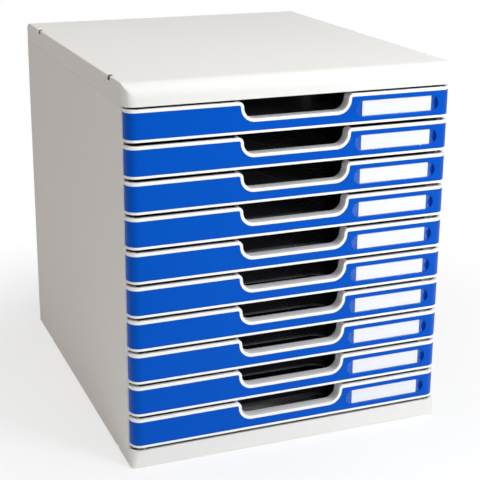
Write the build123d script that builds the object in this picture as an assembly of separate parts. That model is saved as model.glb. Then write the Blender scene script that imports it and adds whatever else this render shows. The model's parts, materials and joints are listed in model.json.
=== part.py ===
from build123d import *
import os

# Desktop drawer unit for A4 papers: a closed casing with ten shallow drawers.
# The origin is the middle of the footprint on the surface it stands on. X runs
# across the width, the drawers open towards -Y and Z is up. Lengths are in mm.

# Casing
unit_width = 288.0
unit_depth = 350.0
casing_wall = 2.5
cover_height = 18.0
base_height = 15.5
cover_gap = 1.9
base_gap = 2.5
plan_corner = 10.0
rear_corner = 4.0
foot_corner = 4.0
foot_chamfer = 0.8
nose_radius = 12.0
rear_edge_radius = 14.0
top_edge_radius = 1.0
seam_gap = 0.25

# Tongues that locate the panels inside the cover and the base
tongue_wall = 1.8
tongue_reach = 7.0
tongue_root = 2.0
side_tongue_front_setback = 20.0
side_tongue_rear_setback = 15.0
back_tongue_setback = 12.0
back_tongue_reach = 3.5
rear_return = 6.0
rear_tongue_length = 8.0
rear_tongue_reach = 2.0
panel_edge_radius = 0.8

# Cover and base details
cover_rib_count = 3
cover_rib_spacing = 70.0
cover_rib_wall = 1.8
cover_rib_drop = 6.0
cover_rib_end_gap = 5.0
stack_front = 42.5
stack_rear = 290.5
stack_notch_length = 6.5
stack_notch_width = 3.0
stack_notch_height = 4.0
foot_notch_length = 9.0
foot_notch_width = 2.0
foot_notch_height = 2.2
keel_outset = 0.5
keel_wall = 1.8
keel_end_gap = 2.5
keel_clearance = 0.8

# Drawers
drawer_count = 10
drawer_gap = 2.9
drawer_travel = 250.0
stop_clearance = 0.3

# Drawer front
front_side_gap = 1.5
front_height = 26.0
front_depth = 10.2
front_wall = 3.2
front_corner = 9.0
rim_top = 2.4
rim_bottom = 2.2
front_to_panel = 0.3

# Finger notch in the upper edge of the front
notch_to_pocket = 2.7
notch_lip_radius = 4.2
notch_corner_radius = 9.0
notch_side = 0.3
lip_wall = 1.8

# Blue inlay
inlay_recess = 2.2
inlay_step = 0.1
inlay_clearance = 0.1

# Label pocket in the inlay, with a paper label under a clear cover
pocket_end_margin = 12.6
pocket_length = 77.0
pocket_border = 3.8
pocket_depth = 1.5
label_end_gap = 6.25
label_edge_gap = 0.4
label_thickness = 0.3
window_thickness = 0.8
window_clearance = 0.2
well_depth = 3.0
well_floor = 0.8
well_reach = 4.5
well_radius = 5.6
well_boss_wall = 1.2

# Lugs that hold the front on the tray
lug_to_notch = 19.8
lug_to_end = 30.5
lug_length = 8.0
lug_height = 3.0
lug_reach = 3.5
lug_clearance = 0.2
post_border = 2.0
lug_level = 6.5

# Tray
tray_side_gap = 11.0
tray_wall = 1.8
tray_floor = 1.6
tray_rise = 1.0
tray_top_drop = 2.0
tray_rear_gap = 6.5
tray_rear_corner = 8.0
tray_front_corner = 4.5
tray_foot_radius = 2.4
tray_notch_margin = 0.3
rear_lip = 3.0

# Hole in each tray's floor behind the finger notch, to push papers up from below
finger_hole_width = 24.3
finger_hole_margin = 1.2
finger_hole_gap = 4.2
finger_hole_bevel = 1.0

# Flange, rail, keeper and stop that guide each tray
flange_thickness = 1.8
flange_side_gap = 2.3
flange_front_setback = 3.0
rail_thickness = 2.0
rail_tip_gap = 1.8
rail_play = 0.3
keeper_width = 5.5
keeper_thickness = 1.6
keeper_play = 1.2
rail_front_setback = 4.5
rail_rear_setback = 12.5
nib_length = 4.0
nib_side_gap = 0.6
ear_length = 8.0
ear_side_gap = 0.5

# Places that follow from the sizes
half_width = unit_width / 2
front_y = -unit_depth / 2
rear_y = unit_depth / 2
inner_half = half_width - casing_wall
tray_half = inner_half - tray_side_gap
front_half = half_width - front_side_gap
label_centre = front_half - pocket_end_margin - pocket_length / 2
notch_mouth_half = label_centre - pocket_length / 2 - notch_to_pocket
notch_half_width = notch_mouth_half - notch_lip_radius
lug_inner = notch_mouth_half + lug_to_notch
lug_outer = front_half - lug_to_end
label_middle = (rim_bottom + front_height - rim_top) / 2
pocket_height = front_height - rim_top - rim_bottom - 2 * pocket_border
drawer_pitch = front_height + drawer_gap
first_front_z = base_height + base_gap
stack_top_z = first_front_z + (drawer_count - 1) * drawer_pitch + front_height
cover_z = stack_top_z + cover_gap
unit_height = cover_z + cover_height
tray_front_y = front_y + front_depth
panel_front_y = tray_front_y + front_to_panel
back_inner_y = rear_y - casing_wall
tray_rear_y = back_inner_y - tray_rear_gap
finger_hole_half = notch_half_width + finger_hole_margin
finger_hole_y = tray_front_y + tray_wall + finger_hole_gap + finger_hole_width / 2
tray_top = front_height - tray_top_drop
flange_bottom = tray_top - flange_thickness
flange_half = inner_half - flange_side_gap
rail_top = flange_bottom - rail_play
rail_inner = tray_half + rail_tip_gap
rail_front_y = panel_front_y + rail_front_setback
rail_rear_y = back_inner_y - rail_rear_setback
nib_rear_y = rail_front_y + nib_length
ear_front_y = nib_rear_y + drawer_travel + stop_clearance
overshoot = 5.0


def block(x0, x1, y0, y1, z0, z1):
    """A box between two corners."""
    middle = Pos((x0 + x1) / 2, (y0 + y1) / 2, (z0 + z1) / 2)
    return middle * Box(x1 - x0, y1 - y0, z1 - z0)


def both_sides(solid):
    """A solid and its mirror image across the middle of the unit."""
    return [solid, mirror(solid, about=Plane.YZ)]


def plan_outline(half, y0, y1, front_radius, rear_radius):
    """Plan view rectangle with its own radius on the front and rear corners."""
    face = Pos(0, (y0 + y1) / 2) * Rectangle(2 * half, y1 - y0)
    if front_radius > 0:
        face = fillet(face.vertices().sort_by(Axis.Y)[:2], front_radius)
    if rear_radius > 0:
        face = fillet(face.vertices().sort_by(Axis.Y)[-2:], rear_radius)
    return face


def prism(face, z0, z1):
    """A plan view face raised from one height to another."""
    return Pos(0, 0, z0) * extrude(face, amount=z1 - z0, dir=(0, 0, 1))


def casing_plan(inset):
    """The casing's plan outline, drawn in by an inset."""
    front_radius = plan_corner - inset
    rear_radius = max(rear_corner - inset, 0.0)
    return plan_outline(half_width - inset, front_y + inset, rear_y - inset, front_radius, rear_radius)


def cover_block(inset, bottom):
    """The cover's outer form, drawn in by an inset: a side profile cut by its plan and its end view."""
    top = unit_height - inset
    y0 = front_y + inset
    y1 = rear_y - inset
    side = Pos((y0 + y1) / 2, (bottom + top) / 2) * Rectangle(y1 - y0, top - bottom)
    corners = side.vertices().sort_by(Axis.Y)[-2:].sort_by(Axis.X)
    side = fillet(corners[0], nose_radius - inset)
    corners = side.vertices().sort_by(Axis.Y)[-2:].sort_by(Axis.X)
    side = fillet(corners[-1], rear_edge_radius - inset)
    profile = extrude(Plane.YZ * side, amount=half_width + overshoot, both=True)
    form = profile & prism(casing_plan(inset), bottom - overshoot, top + overshoot)
    edge = top_edge_radius - inset
    if edge > 0:
        foot = bottom - overshoot
        end = Pos(0, (foot + top) / 2) * Rectangle(2 * (half_width - inset), top - foot)
        end = fillet(end.vertices().sort_by(Axis.Y)[-2:], edge)
        form = form & extrude(Plane.XZ * end, amount=unit_depth, both=True)
    return form


def stack_places():
    """Distances along the depth of the stacking notches."""
    return [front_y + stack_front, front_y + stack_rear]


def top_cover():
    """Hollow cover with its rounded front nose, stiffening ribs and stacking notches."""
    shell = cover_block(0, cover_z) - cover_block(casing_wall, cover_z - overshoot)
    ceiling = unit_height - casing_wall
    rib_y0 = front_y + nose_radius + cover_rib_end_gap
    rib_y1 = rear_y - rear_edge_radius - cover_rib_end_gap
    for index in range(cover_rib_count):
        x = (index - (cover_rib_count - 1) / 2) * cover_rib_spacing
        shell += block(
            x - cover_rib_wall / 2, x + cover_rib_wall / 2, rib_y0, rib_y1,
            ceiling - cover_rib_drop, ceiling,
        )
    for y in stack_places():
        notch = block(
            half_width - stack_notch_width, half_width + overshoot,
            y - stack_notch_length / 2, y + stack_notch_length / 2,
            unit_height - stack_notch_height, unit_height + overshoot,
        )
        shell -= both_sides(notch)
    return shell


def base():
    """Pan with a nearly square foot that turns into the rounded rim, and two keels under the drawers."""
    foot = plan_outline(half_width, front_y, rear_y, foot_corner, rear_corner)
    sole = plan_outline(
        half_width - foot_chamfer, front_y + foot_chamfer, rear_y - foot_chamfer,
        foot_corner - foot_chamfer, rear_corner - foot_chamfer,
    )
    sections = [sole, Pos(0, 0, foot_chamfer) * foot, Pos(0, 0, base_height) * casing_plan(0)]
    pan = loft(sections, ruled=True)
    pan -= prism(casing_plan(casing_wall), casing_wall, base_height + overshoot)
    keel_x = tray_half + keel_outset
    keel_setback = casing_wall + keel_end_gap
    keel = block(
        keel_x - keel_wall / 2, keel_x + keel_wall / 2,
        front_y + keel_setback, rear_y - keel_setback,
        casing_wall, first_front_z - keel_clearance,
    )
    pan += both_sides(keel)
    for y in stack_places():
        notch = block(
            half_width - foot_notch_width, half_width + overshoot,
            y - foot_notch_length / 2, y + foot_notch_length / 2,
            -overshoot, foot_notch_height,
        )
        pan -= both_sides(notch)
    return pan


def drawer_levels():
    """Height of the lower edge of each drawer front, from the top drawer down."""
    return [first_front_z + index * drawer_pitch for index in reversed(range(drawer_count))]


def side_panel():
    """Right-hand panel with a channel of rail and keeper for each drawer, and its tongues."""
    z0 = base_height + seam_gap
    z1 = cover_z - seam_gap
    y0 = panel_front_y
    y1 = rear_y - rear_return - seam_gap
    plan = Pos(half_width - casing_wall / 2, (y0 + y1) / 2) * Rectangle(casing_wall, y1 - y0)
    corner = plan.vertices().sort_by(Axis.Y)[:2].sort_by(Axis.X)[-1]
    panel = prism(fillet(corner, panel_edge_radius), z0, z1)
    tongue_inner = inner_half - tongue_wall
    tongue_y0 = y0 + side_tongue_front_setback
    tongue_y1 = y1 - side_tongue_rear_setback
    panel += block(tongue_inner, inner_half, tongue_y0, tongue_y1, cover_z - tongue_root, cover_z + tongue_reach)
    panel += block(tongue_inner, inner_half, tongue_y0, tongue_y1, base_height - tongue_reach, base_height + tongue_root)
    panel += block(
        tongue_inner, inner_half,
        y1 + rear_tongue_reach - rear_tongue_length, y1 + rear_tongue_reach,
        base_height + tongue_reach, cover_z - tongue_reach,
    )
    for level in drawer_levels():
        panel += drawer_channel(level)
    return panel


def drawer_channel(level):
    """Rail, keeper and stop nib for one drawer, on the right-hand panel."""
    seat = level + rail_top
    roof = level + tray_top + keeper_play
    rail = block(rail_inner, inner_half, rail_front_y, rail_rear_y, seat - rail_thickness, seat)
    keeper = block(inner_half - keeper_width, inner_half, rail_front_y, rail_rear_y, roof, roof + keeper_thickness)
    nib = block(flange_half + nib_side_gap, inner_half, rail_front_y, nib_rear_y, seat, roof)
    return [rail, keeper, nib]


def back_panel():
    """Rear panel with a return round each corner and a tongue at its top and foot."""
    z0 = base_height + seam_gap
    z1 = cover_z - seam_gap
    ring = casing_plan(0) - casing_plan(casing_wall)
    rear_band = Pos(0, rear_y) * Rectangle(2 * unit_width, 2 * rear_return)
    panel = prism(ring & rear_band, z0, z1)
    x1 = inner_half - back_tongue_setback
    y0 = back_inner_y - tongue_wall
    panel += block(-x1, x1, y0, back_inner_y, cover_z - tongue_root, cover_z + back_tongue_reach)
    panel += block(-x1, x1, y0, back_inner_y, base_height - back_tongue_reach, base_height + tongue_root)
    return panel


def notch_prism(margin, level):
    """The finger notch widened by a margin, cut through from front to back."""
    top = level + front_height
    lip = notch_lip_radius - margin
    corner = notch_corner_radius + margin
    x_lip = notch_mouth_half
    x_side = notch_half_width + margin
    x_floor = notch_half_width - notch_corner_radius
    z_side = top - notch_lip_radius
    z_corner = z_side - notch_side
    z_floor = z_corner - corner
    right = [
        Line((0, z_floor), (x_floor, z_floor)),
        CenterArc((x_floor, z_corner), corner, 270, 90),
        Line((x_side, z_corner), (x_side, z_side)),
        CenterArc((x_lip, z_side), lip, 90, 90),
        Line((x_lip, z_side + lip), (x_lip, top + overshoot)),
        Line((x_lip, top + overshoot), (0, top + overshoot)),
    ]
    half = make_face(right + [Line((0, top + overshoot), (0, z_floor))])
    outline = half + mirror(half, about=Plane.YZ)
    return Pos(0, front_y, 0) * extrude(Plane.XZ * outline, amount=2 * front_depth, both=True)


def front_plan(inset, tail):
    """Plan outline of a drawer front, drawn in by an inset and run on past its rear by a tail."""
    corner = front_corner - inset
    return plan_outline(front_half - inset, front_y + inset, tray_front_y + tail, corner, 0)


def obround(length, height, depth_front, depth_rear, level):
    """A label-shaped block with round ends, between two depths behind the front's face."""
    shape = Pos(label_centre, level + label_middle) * SlotOverall(length, height)
    solid = extrude(Plane.XZ * shape, amount=depth_rear - depth_front)
    return Pos(0, front_y + depth_rear, 0) * solid


def well(radius, depth_front, depth_rear, level):
    """A round block at the right-hand end of the label pocket, between two depths."""
    x = label_centre + pocket_length / 2 - well_reach + well_radius
    shape = Pos(x, level + label_middle) * Circle(radius)
    solid = extrude(Plane.XZ * shape, amount=depth_rear - depth_front)
    return Pos(0, front_y + depth_rear, 0) * solid


def inlay_band(near, far, margin, level):
    """The wrap-round band that the inlay fills, between two depths and grown by a margin."""
    z0 = level + rim_bottom - margin
    z1 = level + front_height - rim_top + margin
    band = prism(front_plan(near, overshoot) - front_plan(far, 2 * overshoot), z0, z1)
    return band - notch_prism(rim_top - margin, level)


def lug(x, border, y1, level):
    """A lug, or with a border the post behind it, from the front's wall back to a depth."""
    z = level + lug_level
    return block(
        x - lug_length / 2 - border, x + lug_length / 2 + border,
        front_y + front_wall, y1,
        z - lug_height / 2 - border, z + lug_height / 2 + border,
    )


def lug_places():
    """Positions across the width of the lugs that hold each front."""
    return [-lug_outer, -lug_inner, lug_inner, lug_outer]


def well_boss(extra, level):
    """The part of the label pocket's end that reaches through the front's wall."""
    ring = pocket_height + 2 * well_boss_wall + 2 * extra
    length = pocket_length + 2 * well_boss_wall + 2 * extra
    depth = inlay_step + well_depth + well_floor
    whole = obround(length, ring, inlay_recess - overshoot, depth + extra, level)
    return whole & well(well_radius + well_boss_wall + extra, inlay_recess - overshoot, depth + extra, level)


def drawer_front(level):
    """Light frame of a drawer front: rims, wrapped ends, deep notch lip, posts and lugs."""
    top = level + front_height
    outer = prism(front_plan(0, 0), level, top)
    shell = outer - prism(front_plan(front_wall, overshoot), level, top)
    lip = (outer & notch_prism(lip_wall, level)) - notch_prism(0, level)
    shell = shell - notch_prism(0, level) + lip
    for x in lug_places():
        shell += lug(x, post_border, tray_front_y, level)
        shell += lug(x, 0, tray_front_y + lug_reach, level)
    shell -= inlay_band(-overshoot / 2, inlay_recess, inlay_clearance, level)
    shell -= well_boss(inlay_clearance, level)
    return shell


def inlay(level):
    """Blue inlay that wraps both ends of the front and holds the label pocket."""
    plate = inlay_band(inlay_step, inlay_recess, 0, level)
    plate = plate & prism(front_plan(inlay_step, 0), level, level + front_height)
    plate += well_boss(0, level) - obround(2 * unit_width, unit_width, -overshoot, inlay_recess, level)
    plate -= obround(pocket_length, pocket_height, -overshoot, inlay_step + pocket_depth, level)
    thumb = well(well_radius, -overshoot, inlay_step + well_depth, level)
    plate -= thumb & obround(pocket_length, pocket_height, -overshoot, inlay_step + well_depth, level)
    return plate


def label(level):
    """Paper label on the floor of the pocket."""
    y = front_y + inlay_step + pocket_depth
    half_length = pocket_length / 2 - label_end_gap
    half_height = pocket_height / 2 - label_edge_gap
    return block(
        label_centre - half_length, label_centre + half_length,
        y - label_thickness, y,
        level + label_middle - half_height, level + label_middle + half_height,
    )


def label_cover(level):
    """Clear cover over the label, cut away at the right-hand end for a fingernail."""
    rear = inlay_step + pocket_depth - label_thickness
    length = pocket_length - 2 * window_clearance
    height = pocket_height - 2 * window_clearance
    window = obround(length, height, rear - window_thickness, rear, level)
    return window - well(well_radius, -overshoot, overshoot, level)


def finger_hole(level):
    """Round-ended hole through a tray's floor, with its upper edge bevelled."""
    top = level + tray_rise + tray_floor
    outline = Pos(0, finger_hole_y) * SlotOverall(2 * finger_hole_half, finger_hole_width)
    hole = prism(outline, level, top + overshoot)
    start = top - finger_hole_bevel
    bevel = extrude(outline, amount=finger_hole_bevel, dir=(0, 0, 1), taper=-45)
    return hole + Pos(0, 0, start) * bevel


def tray(level):
    """Open-topped tray that hangs by a flange on each side, with an ear that meets the stop nib."""
    z0 = level + tray_rise
    z1 = level + tray_top
    plan = plan_outline(tray_half, tray_front_y, tray_rear_y, tray_front_corner, tray_rear_corner)
    outer = prism(plan, z0, z1)
    outer = fillet(outer.faces().sort_by(Axis.Z)[0].edges(), tray_foot_radius)
    inner_plan = plan_outline(
        tray_half - tray_wall, tray_front_y + tray_wall, tray_rear_y - tray_wall,
        tray_front_corner - tray_wall, tray_rear_corner - tray_wall,
    )
    hollow = prism(inner_plan, z0 + tray_floor, z1 + overshoot)
    hollow = fillet(hollow.faces().sort_by(Axis.Z)[0].edges(), tray_foot_radius - tray_wall / 2)
    box = outer - hollow
    seat = level + flange_bottom
    flange_front_y = tray_front_y + tray_front_corner + flange_front_setback
    flange = block(
        tray_half - tray_wall, flange_half,
        flange_front_y, tray_rear_y - tray_rear_corner,
        seat, z1,
    )
    ear = block(tray_half, inner_half - ear_side_gap, ear_front_y, ear_front_y + ear_length, seat, z1)
    box += both_sides(flange) + both_sides(ear)
    box += block(
        tray_rear_corner - tray_half, tray_half - tray_rear_corner,
        tray_rear_y - tray_wall, tray_rear_y + rear_lip, seat, z1,
    )
    box -= notch_prism(tray_notch_margin, level)
    box -= finger_hole(level)
    for x in lug_places():
        z = level + lug_level
        box -= block(
            x - lug_length / 2 - lug_clearance, x + lug_length / 2 + lug_clearance,
            tray_front_y - overshoot, tray_front_y + overshoot,
            z - lug_height / 2 - lug_clearance, z + lug_height / 2 + lug_clearance,
        )
    return box


def save(name, shape):
    """Writes one piece to its own file."""
    shape.label = name
    export_step(shape, f"parts/{name}.step")


def main():
    """Builds and writes every piece of the casing and of the ten drawers."""
    os.makedirs("parts", exist_ok=True)
    save("top_cover", top_cover())
    save("base", base())
    right = side_panel()
    save("right_side_panel", right)
    save("left_side_panel", mirror(right, about=Plane.YZ))
    save("back_panel", back_panel())
    top_level = drawer_levels()[0]
    pieces = {
        "front": drawer_front(top_level),
        "inlay": inlay(top_level),
        "label": label(top_level),
        "label_cover": label_cover(top_level),
        "tray": tray(top_level),
    }
    for number, level in enumerate(drawer_levels(), start=1):
        for piece, solid in pieces.items():
            save(f"drawer_{number:02d}_{piece}", Pos(0, 0, level - top_level) * solid)


main()
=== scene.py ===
"""Looks of a desktop drawer unit, built round its packed construction model.

The casing and the ten drawers are surfaces worked out with numpy, with procedural materials.
Lengths are metres. X runs across the width, the drawers open towards -Y and Z is up.
"""

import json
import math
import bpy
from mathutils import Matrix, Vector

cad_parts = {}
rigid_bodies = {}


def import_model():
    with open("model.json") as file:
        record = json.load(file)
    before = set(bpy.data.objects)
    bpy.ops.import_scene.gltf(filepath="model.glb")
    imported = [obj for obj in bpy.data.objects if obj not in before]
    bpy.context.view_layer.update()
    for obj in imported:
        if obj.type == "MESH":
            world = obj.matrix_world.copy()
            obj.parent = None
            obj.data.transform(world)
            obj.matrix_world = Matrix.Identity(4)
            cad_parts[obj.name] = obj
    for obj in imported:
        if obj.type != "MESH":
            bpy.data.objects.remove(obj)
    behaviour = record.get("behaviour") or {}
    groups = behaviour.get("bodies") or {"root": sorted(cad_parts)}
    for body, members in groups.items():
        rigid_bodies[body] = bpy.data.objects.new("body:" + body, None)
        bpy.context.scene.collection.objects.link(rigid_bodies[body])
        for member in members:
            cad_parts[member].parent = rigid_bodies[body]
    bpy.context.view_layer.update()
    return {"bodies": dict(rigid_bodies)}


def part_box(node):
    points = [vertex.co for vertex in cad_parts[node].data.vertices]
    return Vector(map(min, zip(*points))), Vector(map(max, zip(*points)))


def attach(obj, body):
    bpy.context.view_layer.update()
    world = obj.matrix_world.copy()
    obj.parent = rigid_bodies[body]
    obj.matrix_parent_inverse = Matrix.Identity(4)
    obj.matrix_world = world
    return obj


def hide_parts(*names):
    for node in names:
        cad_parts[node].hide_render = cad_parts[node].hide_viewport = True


bl_info = {
    "name": "Desktop drawer unit",
    "version": (1, 0, 0),
    "blender": (4, 5, 0),
    "location": "3D View > Sidebar > Drawer Unit",
    "description": "Builds the casing, the drawers, the finishes and the stage of a desktop drawer unit",
    "category": "Object",
}

import bmesh
import bpy
import numpy as np
from bpy.props import FloatProperty, FloatVectorProperty, IntProperty, PointerProperty
from bpy.types import Operator, Panel, PropertyGroup
from mathutils import Euler, Matrix, Vector

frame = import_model()

COVER_LOW, COVER_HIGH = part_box("top_cover")
BASE_LOW, BASE_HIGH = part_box("base")
PANEL_LOW, PANEL_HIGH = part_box("right_side_panel")
BACK_LOW, BACK_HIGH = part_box("back_panel")
FRONT_LOW, FRONT_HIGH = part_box("drawer_01_front")
TRAY_LOW, TRAY_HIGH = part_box("drawer_01_tray")
DRAWERS = sorted(name for name in frame["bodies"] if name != "casing")

# Points nearer than WELD are one, and two columns that step apart lie STEP from each other
WELD = 2e-6
STEP = 2e-5
# Edges that turn by more than this are shaded sharp
CREASE = math.radians(32)


# Sizes and colours that a user would change

def length(name, description, default):
    """A length property in metres."""
    return FloatProperty(
        name=name, description=description, default=default, min=0.0, unit="LENGTH", precision=5,
    )


def colour(name, description, default):
    """A colour property."""
    return FloatVectorProperty(
        name=name, description=description, default=default, subtype="COLOR", size=3, min=0.0, max=1.0,
    )


def power(name, description, default):
    """A lamp's power property in watts."""
    return FloatProperty(name=name, description=description, default=default, min=0.0, unit="POWER")


def angle(name, description, degrees):
    """An angle property, given in degrees and kept in radians."""
    return FloatProperty(name=name, description=description, default=math.radians(degrees), subtype="ANGLE")


class CasingSizes(PropertyGroup):
    """Sizes of the cover, the base and the panels."""

    wall: length("Wall", "Thickness of every casing wall", 0.0025)
    edge: length("Edge radius", "Softness of the casing's moulded edges", 0.0004)
    base_height: length("Base height", "Height of the base up to its seam", 0.0155)
    seam: length("Seam", "Gap at each seam between casing pieces", 0.0001)
    seam_edge: length("Seam edge", "Softness of the edges along the seams", 0.00015)
    tongue_wall: length("Tongue wall", "Thickness of the panels' tongues", 0.0018)
    tongue_reach: length("Tongue reach", "How far a side panel's tongues reach past its seams", 0.007)
    tongue_root: length("Tongue root", "How far a tongue overlaps its own panel", 0.002)
    tongue_front: length("Tongue front", "Distance of the side tongues behind the panel's front edge", 0.020)
    tongue_rear: length("Tongue rear", "Distance of the side tongues before the panel's rear edge", 0.015)
    rear_tongue: length("Rear tongue", "Length of the side panel's tongue at its rear edge", 0.008)
    rear_reach: length("Rear tongue reach", "How far that tongue reaches past the rear edge", 0.002)
    back_tongue: length("Back tongue", "How far the back panel's tongues reach past its seams", 0.0035)
    back_setback: length("Back tongue setback", "Distance of the back panel's tongues from the sides", 0.012)
    plan_corner: length("Front corner", "Radius of the front corners seen from above", 0.010)
    rear_corner: length("Rear corner", "Radius of the rear corners seen from above", 0.004)
    foot_corner: length("Foot corner", "Radius of the front corners at the foot", 0.004)
    foot_chamfer: length("Foot chamfer", "Bevel round the sole", 0.0008)
    nose_radius: length("Nose radius", "Rounding of the cover's front edge", 0.012)
    rear_radius: length("Rear edge radius", "Rounding of the cover's rear edge", 0.014)
    side_radius: length("Side edge radius", "Rounding of the cover's side edges", 0.001)
    corner_crease: length("Corner crease", "Softness of the crease where the nose meets the corner", 0.0007)
    notch_front: length("Front notch", "Distance of the front stacking notch behind the front", 0.0425)
    notch_rear: length("Rear notch", "Distance of the rear stacking notch behind the front", 0.2905)
    notch_length: length("Notch length", "Length of a stacking notch", 0.0080)
    notch_width: length("Notch width", "How far a stacking notch reaches in", 0.0034)
    notch_height: length("Notch height", "How far a stacking notch reaches down", 0.0042)
    notch_skin: length("Notch skin", "Wall left where it is thinned inside round a notch", 0.0006)
    notch_relief: length("Notch relief", "How far that thinning runs on past the notch", 0.0035)
    foot_notch_length: length("Foot notch length", "Length of a notch in the foot", 0.009)
    foot_notch_width: length("Foot notch width", "How far a notch in the foot reaches in", 0.002)
    foot_notch_height: length("Foot notch height", "How far a notch in the foot reaches up", 0.0022)
    rib_count: IntProperty(name="Ribs", description="Stiffening ribs under the cover", default=3, min=0)
    rib_spacing: length("Rib spacing", "Distance between the cover's ribs", 0.070)
    rib_wall: length("Rib wall", "Thickness of the cover's ribs and the base's keels", 0.0018)
    rib_drop: length("Rib drop", "Height of the cover's ribs", 0.006)
    keel_half_spacing: length("Keel place", "Distance of a keel from the middle", 0.131)
    back_return: length("Back return", "How far the back panel wraps round the sides", 0.006)


class DrawerSizes(PropertyGroup):
    """Sizes of the fronts, inlays, labels and trays."""

    corner: length("Front corner", "Radius of the wrapped ends of a front", 0.009)
    wall: length("Front wall", "Thickness of the front's wall", 0.0032)
    rim_top: length("Upper rim", "Height of the light rim above the inlay", 0.0028)
    rim_bottom: length("Lower rim", "Height of the light rim below the inlay", 0.0022)
    edge: length("Edge radius", "Softness of the front's moulded edges", 0.00045)
    notch_half_width: length("Finger notch", "Half the width of the finger notch", 0.046)
    notch_lip_radius: length("Notch lip", "Rounding at the mouth of the finger notch", 0.0042)
    notch_corner_radius: length("Notch corner", "Rounding at the floor of the finger notch", 0.0096)
    notch_side: length("Notch side", "Straight part of the finger notch's side", 0.0003)
    lip_wall: length("Lip wall", "Thickness of the deep lip round the notch", 0.0018)
    recess: length("Recess", "Depth of the recess that holds the inlay", 0.0022)
    inlay_step: length("Inlay step", "How far the inlay lies behind the rims", 0.0001)
    inlay_gap: length("Inlay gap", "Clearance between the inlay and the rims", 0.0001)
    inlay_edge: length("Inlay edge", "Softness of the inlay's edges", 0.0003)
    pocket_margin: length("Pocket margin", "Distance of the label pocket from the front's end", 0.0126)
    pocket_length: length("Pocket length", "Length of the label pocket", 0.077)
    pocket_border: length("Pocket border", "Height of the inlay above and below the pocket", 0.0038)
    pocket_depth: length("Pocket depth", "Depth of the label pocket", 0.0015)
    pocket_edge: length("Pocket edge", "Softness of the pocket's edge", 0.0005)
    well_radius: length("Thumb well", "Radius of the thumb well", 0.0056)
    well_reach: length("Well reach", "How far the thumb well reaches into the pocket", 0.0045)
    well_depth: length("Well depth", "Depth of the thumb well", 0.003)
    well_wall: length("Well wall", "Wall round the thumb well", 0.0012)
    well_floor: length("Well floor", "Floor of the thumb well", 0.0008)
    label_end_gap: length("Label end gap", "Distance of the label from each end of the pocket", 0.00625)
    label_edge_gap: length("Label edge gap", "Distance of the label from the pocket's edges", 0.0004)
    label_thickness: length("Label thickness", "Thickness of the paper label", 0.0003)
    label_corner: length("Label corner", "Rounding of the label's corners", 0.0004)
    label_play: length("Label play", "Air between the label and its window", 0.00003)
    window_thickness: length("Window thickness", "Thickness of the clear window", 0.0008)
    window_gap: length("Window gap", "Clearance round the clear window", 0.0002)
    lug_inner: length("Inner lug", "Distance of the inner lugs from the middle", 0.070)
    lug_outer: length("Outer lug", "Distance of the outer lugs from the middle", 0.112)
    lug_length: length("Lug length", "Length of a lug", 0.008)
    lug_height: length("Lug height", "Height of a lug", 0.003)
    lug_reach: length("Lug reach", "How far a lug reaches into the tray", 0.0035)
    lug_level: length("Lug level", "Height of the lugs above the front's lower edge", 0.0065)
    post_border: length("Post border", "How much wider the post behind a lug is", 0.002)
    tray_half: length("Tray half width", "Half the width of the tray's box", 0.1305)
    tray_wall: length("Tray wall", "Thickness of the tray's walls", 0.0018)
    tray_floor: length("Tray floor", "Thickness of the tray's floor", 0.0016)
    tray_front_corner: length("Tray front corner", "Radius of the tray's front corners", 0.0045)
    tray_rear_corner: length("Tray rear corner", "Radius of the tray's rear corners", 0.008)
    tray_foot: length("Tray foot radius", "Rounding along the tray's lower edge", 0.0024)
    tray_edge: length("Tray edge radius", "Softness of the tray's upper edges", 0.0004)
    tray_rear_gap: length("Tray rear gap", "Distance of the tray's box from its rear lip's edge", 0.003)
    notch_margin: length("Tray notch margin", "How much wider the tray's notch is", 0.0003)
    hole_width: length("Finger hole width", "Width, front to back, of the hole in the tray's floor", 0.0243)
    hole_margin: length("Finger hole margin", "How much further the hole reaches than the notch", 0.0012)
    hole_gap: length("Finger hole gap", "Distance of that hole behind the tray's front wall", 0.0042)
    hole_bevel: length("Finger hole bevel", "Bevel round the hole's upper edge", 0.0010)
    flange_thickness: length("Flange thickness", "Thickness of the tray's flange", 0.0018)
    flange_reach: length("Flange reach", "Width of the tray's flange", 0.0087)
    flange_setback: length("Flange setback", "Distance of the flange from the tray's front", 0.0075)
    ear_front: length("Ear place", "Distance of the stop ear from the tray's front", 0.2593)
    ear_length: length("Ear length", "Length of the stop ear", 0.008)
    rail_play: length("Rail play", "Running gap between the flange and its rail", 0.0003)
    rail_thickness: length("Rail thickness", "Thickness of a rail", 0.002)
    rail_width: length("Rail width", "Width of a rail", 0.0092)
    keeper_play: length("Keeper play", "Running gap between the flange and its keeper", 0.0012)
    keeper_thickness: length("Keeper thickness", "Thickness of a keeper", 0.0016)
    keeper_width: length("Keeper width", "Width of a keeper", 0.0055)
    rail_front: length("Rail front setback", "Distance of the rails behind the panel's front edge", 0.0045)
    rail_rear: length("Rail rear setback", "Distance of the rails from the back panel", 0.0125)
    nib_length: length("Nib length", "Length of a stop nib", 0.004)
    nib_width: length("Nib width", "Width of a stop nib", 0.0017)


class FinishColours(PropertyGroup):
    """Colours of the mouldings, the label and its window."""

    casing: colour("Casing", "Warm light grey of the casing", (0.715, 0.697, 0.660))
    front: colour("Front frame", "Light grey of the rims and lips", (0.890, 0.890, 0.890))
    inlay: colour("Inlay", "Blue of the inlays", (0.000, 0.074, 0.480))
    inlay_gloss: colour("Inlay gloss", "Tone of what the inlays mirror", (0.050, 0.350, 1.000))
    tray: colour("Tray", "Black of the trays", (0.048, 0.048, 0.056))
    paper: colour("Paper", "White of the labels", (0.830, 0.830, 0.860))
    window: colour("Window", "Tint of the clear windows", (0.880, 0.960, 0.980))


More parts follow.
